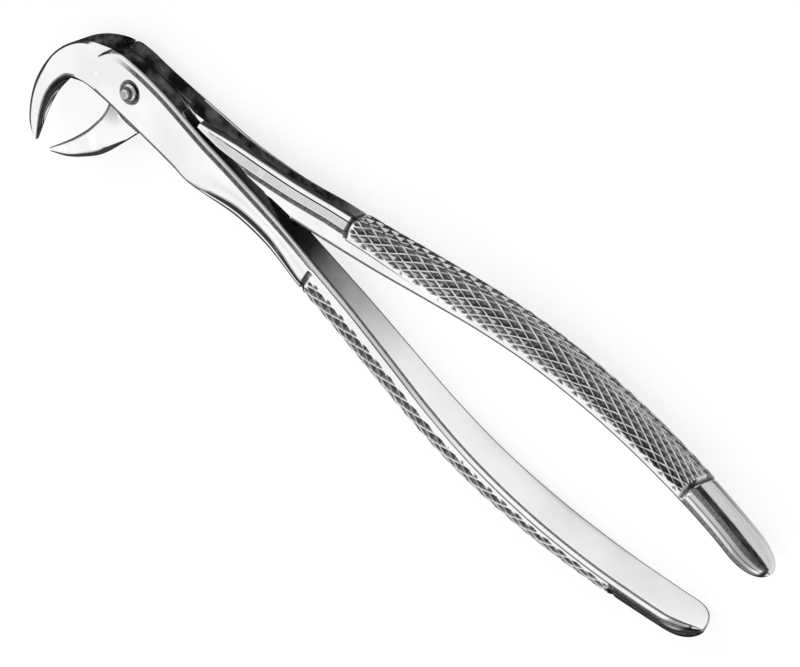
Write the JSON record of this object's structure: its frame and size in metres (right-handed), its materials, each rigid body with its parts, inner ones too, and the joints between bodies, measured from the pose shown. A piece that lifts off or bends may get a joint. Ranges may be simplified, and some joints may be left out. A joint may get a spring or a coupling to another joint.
{
  "type": "extraction forceps",
  "caption": "Lower tooth extraction forceps with hooked beaks, a flat lap joint on a screw and long curved diamond-knurled handles.",
  "frame": {"origin": "centre of the forceps' bounding box in plan, on the plane that the wide handle ends rest on", "axes": "+X from the beaks to the handle ends, +Z along the hinge axis towards the screw's head, +Y towards the rear half's handle"},
  "size_m": [0.1666, 0.0392, 0.0106],
  "materials": {
    "polished_steel": "mirror-polished stainless steel",
    "screw_steel": "polished stainless steel with a finer dull face"
  },
  "bodies": {
    "rear_body": {"rear_half": "polished_steel", "pivot_screw": "screw_steel"},
    "front_body": {"front_half": "polished_steel"}
  },
  "joints": [
    {"name": "joint_hinge", "type": "hinge", "parent": "rear_body", "child": "front_body", "pos_m": [-0.06399, 0.00331, 0.0053], "axis": [0, 0, -1], "range_deg": [-4, 28]}
  ]
}
